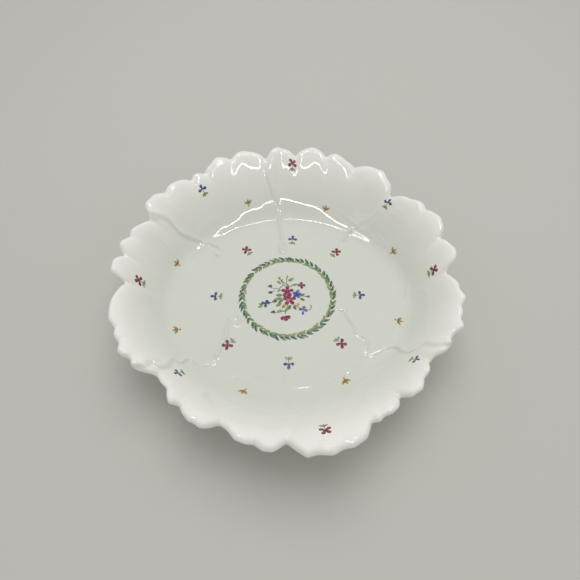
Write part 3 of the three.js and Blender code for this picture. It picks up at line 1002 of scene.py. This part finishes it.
# %% A socket that can be calculated with
class Signal:
    def __init__(self, tree, socket=None):
        self.tree = tree
        self.socket = socket

    def node(self, kind, settings=None, output=0, **inputs):
        made = self.tree.nodes.new(kind)
        for key, value in (settings or {}).items():
            setattr(made, key, value)
        for key, value in inputs.items():
            wanted = key.replace("_", " ")
            socket = next(s for s in made.inputs if s.name.lower() == wanted.lower() and s.enabled)
            self.put(socket, value)
        return Signal(self.tree, made.outputs[output])

    def put(self, socket, value):
        if isinstance(value, Signal):
            self.tree.links.new(value.socket, socket)
        else:
            socket.default_value = value

    def math(self, operation, first, second):
        made = self.tree.nodes.new("ShaderNodeMath")
        made.operation = operation
        self.put(made.inputs[0], first)
        self.put(made.inputs[1], second)
        return Signal(self.tree, made.outputs[0])

    def __add__(self, other):
        return self.math("ADD", self, other)

    __radd__ = __add__

    def __sub__(self, other):
        return self.math("SUBTRACT", self, other)

    def __rsub__(self, other):
        return self.math("SUBTRACT", other, self)

    def __mul__(self, other):
        return self.math("MULTIPLY", self, other)

    __rmul__ = __mul__

    def mix(self, mask, first, second):
        """first where the mask is 0, second where it is 1, as colours."""
        made = self.tree.nodes.new("ShaderNodeMix")
        made.data_type = "RGBA"
        self.put(made.inputs["Factor"], mask)
        self.put(made.inputs[6], first)
        self.put(made.inputs[7], second)
        return Signal(self.tree, made.outputs[2])

    def between(self, low, high):
        """0 below low, 1 above high, and an even rise between."""
        return self.node("ShaderNodeMapRange", {"clamp": True}, Value=self, From_Min=low, From_Max=high)


def new_material(name):
    """A material's name, its empty network and its Principled shader."""
    material = bpy.data.materials.new(name)
    material.use_nodes = True
    shader = material.node_tree.nodes["Principled BSDF"]
    return material, Signal(material.node_tree), shader


def wear(piece, material):
    piece.data.materials.clear()
    piece.data.materials.append(material)
    print(piece.name, "wears", material.name)


# %% [markdown]
# ## Glazed porcelain
# The glaze is clear glass over a white body, so it's smooth and reflects the room in sharp lines.
# It pools in the well and looks a little green-grey there, and it thins on the raised rim and looks
# warmer. Its colour is also darker low in the well as painted shade and lighter up on the rim as
# painted light. The colour is mixed by height with a slow cloudiness. A very shallow bump gives the
# slight orange peel of a real glaze, and a few iron specks are scattered in it.

# %% The glaze
# The first colour is darker, partly pooled glaze and partly painted shade in the well; the second is
# lighter, partly thin glaze and partly painted light on the rim.
POOLED_AND_SHADED = (214, 216, 206)
THIN_AND_LIT = (243, 240, 234)
SPECK = (150, 138, 120)


def glaze():
    material, start, shader = new_material("glazed_porcelain")
    place = start.node("ShaderNodeTexCoord", output=3)
    height = start.node("ShaderNodeSeparateXYZ", output=2, Vector=place)
    cloud = start.node("ShaderNodeTexNoise", Vector=place, Scale=18.0, Detail=3.0)
    fine = start.node("ShaderNodeTexNoise", Vector=place, Scale=260.0, Detail=2.0)
    speckle = start.node("ShaderNodeTexNoise", Vector=place, Scale=900.0, Detail=0.0)
    # Darker low in the well and lighter up on the rim, by height: partly the glaze's pooling, partly painted
    # shade and painted light.
    raised = (height + (cloud - 0.5) * 0.012).between(0.012, 0.052)
    specks = speckle.between(0.84, 0.87) * 0.2
    body = start.mix(raised, (*linear(POOLED_AND_SHADED), 1), (*linear(THIN_AND_LIT), 1))
    start.put(shader.inputs["Base Color"], start.mix(specks, body, (*linear(SPECK), 1)))
    start.put(shader.inputs["Roughness"], 0.015 + 0.035 * fine)
    shader.inputs["IOR"].default_value = 1.52
    peel = start.node("ShaderNodeTexNoise", Vector=place, Scale=120.0, Detail=1.0)
    bump = start.node("ShaderNodeBump", Height=peel, Strength=0.12, Distance=0.0004)
    start.put(shader.inputs["Normal"], bump)
    return material


porcelain = glaze()
wear(bowl, porcelain)

# %% [markdown]
# ## Bare porcelain on the foot
# Only the tread of the foot is left unglazed, so that the bowl doesn't stick to the kiln shelf. It's
# matt, a little grey and slightly rough, while the sides of the ring are glazed like the body. One
# material does both: a mask by height changes its colour, roughness and grain.

# %% The foot
BARE = (206, 200, 186)


def foot_finish():
    material, start, shader = new_material("bare_porcelain")
    place = start.node("ShaderNodeTexCoord", output=3)
    height = start.node("ShaderNodeSeparateXYZ", output=2, Vector=place)
    cloud = start.node("ShaderNodeTexNoise", Vector=place, Scale=60.0, Detail=4.0)
    grain = start.node("ShaderNodeTexNoise", Vector=place, Scale=1600.0, Detail=3.0)
    glazed = (height + (cloud - 0.5) * 0.0008).between(0.0008, 0.0013)
    start.put(
        shader.inputs["Base Color"],
        start.mix(glazed, start.mix(cloud, (*linear(BARE), 1), (*linear(SPECK), 1)), (*linear(POOLED_AND_SHADED), 1)),
    )
    start.put(shader.inputs["Roughness"], 0.75 - 0.68 * glazed)
    bump = start.node("ShaderNodeBump", Height=grain * (1 - glazed), Strength=0.4, Distance=0.0002)
    start.put(shader.inputs["Normal"], bump)
    return material


wear(foot, foot_finish())

# %% [markdown]
# ## Enamel
# On-glaze enamel is coloured glass. Its colour comes from the paint attribute on the strokes, and a
# fine noise thins it unevenly, so the porcelain shows through as it does under a worn brush.

# %% The enamels
ENAMEL_SLOTS = ["green_enamel", "crimson_enamel", "blue_enamel", "ochre_enamel"]


def enamel(name):
    material, start, shader = new_material(name)
    place = start.node("ShaderNodeTexCoord", output=3)
    paint = start.node("ShaderNodeVertexColor", {"layer_name": "paint"})
    brush = start.node("ShaderNodeTexNoise", Vector=place, Scale=1100.0, Detail=2.0)
    thin = brush.between(0.5, 0.8) * 0.3
    # Where the enamel thins, the rim's lighter porcelain colour shows through, its painted light included.
    start.put(shader.inputs["Base Color"], start.mix(thin, paint, (*linear(THIN_AND_LIT), 1)))
    start.put(shader.inputs["Roughness"], 0.1 + 0.15 * brush)
    return material


enamels = {name: enamel(name) for name in ENAMEL_SLOTS}
for film, slot in FILMS:
    wear(film, enamels[slot])

# %% [markdown]
# ## The table
# The bowl stands on a plain pale table, a little darker than the porcelain so the white rim stands
# out against it. It is matt, so it takes only a soft shadow.

# %% The table
TABLE_SIZE = 40.0
TABLE_COLOUR = (196, 193, 187)


def table_finish():
    material, start, shader = new_material("pale_table")
    place = start.node("ShaderNodeTexCoord", output=3)
    cloud = start.node("ShaderNodeTexNoise", Vector=place, Scale=9.0, Detail=3.0)
    colour = (*linear(TABLE_COLOUR), 1)
    start.put(shader.inputs["Base Color"], start.mix(cloud * 0.1, colour, (*linear(BARE), 1)))
    shader.inputs["Roughness"].default_value = 0.7
    return material


deselect()
bpy.ops.mesh.primitive_plane_add(size=TABLE_SIZE, location=(0, 0, 0))
table_top = bpy.context.object
table_top.name = "table_top"
wear(table_top, table_finish())

# %% [markdown]
# ## Light
# Two kinds of light do two jobs. A large soft light and a pale surround model the form, and the soft
# light is hidden from reflections so it leaves no patch on the glaze. A ring of thin strips, like a large
# ring lamp, is only there to be mirrored: it draws the bright loops in the cove and in the lobes.

# %% The lights
SURROUND = 0.545
SOFT_POWER = 9.8
STRIP_GLOW = 34.0  # brightness of the strips, in watts per steradian and square metre
STRIP_WIDTH = 0.026
RING_HEIGHT = 1.0
RING_MIDDLE = (0.03, -0.37)
RING_SIZE = (0.4, 0.58)  # half its width and half its length
RING_SQUARENESS = 2.6  # 2 is an ellipse, and more is a rounder-cornered rectangle
RING_SIDES = 16


def area_light(name, place, aim, size, power, mirrored):
    deselect()
    bpy.ops.object.light_add(type="AREA", location=place)
    light = bpy.context.object
    light.name = name
    light.rotation_euler = (Vector(aim) - Vector(place)).to_track_quat("-Z", "Y").to_euler()
    light.data.shape = "RECTANGLE"
    light.data.size, light.data.size_y = size
    light.data.energy = power
    light.visible_glossy = mirrored
    light.visible_diffuse = not mirrored
    print(name, "at", [round(v, 2) for v in place], round(power, 2), "W")
    return light


def ring_point(k):
    """A corner of the ring in plan."""
    turn = 2 * math.pi * (k + 0.5) / RING_SIDES
    across, along = math.cos(turn), math.sin(turn)
    return [
        middle + half * math.copysign(abs(share) ** (2 / RING_SQUARENESS), share)
        for middle, half, share in zip(RING_MIDDLE, RING_SIZE, (across, along))
    ]


def area_strip(name, start, end):
    """A strip of light that faces down, from one point in plan to another."""
    (x0, y0), (x1, y1) = start, end
    size = (math.hypot(x1 - x0, y1 - y0), STRIP_WIDTH)
    place = ((x0 + x1) / 2, (y0 + y1) / 2, RING_HEIGHT)
    light = area_light(name, place, (*place[:2], 0), size, STRIP_GLOW * math.pi * size[0] * size[1], True)
    light.rotation_euler = (0, 0, math.atan2(y1 - y0, x1 - x0))


for k in range(RING_SIDES):
    area_strip(f"ring_{k}", ring_point(k), ring_point(k + 1))
area_light("soft_key", (0.08, 0.4, 1.4), (0, 0, 0), (1.2, 1.2), SOFT_POWER, False)

world = bpy.data.worlds.new("pale_surround")
bpy.context.scene.world = world
world.use_nodes = True
background = world.node_tree.nodes["Background"].inputs
background["Color"].default_value = (0.98, 0.99, 0.98, 1)
background["Strength"].default_value = SURROUND
bpy.context.scene.view_settings.view_transform = "Standard"
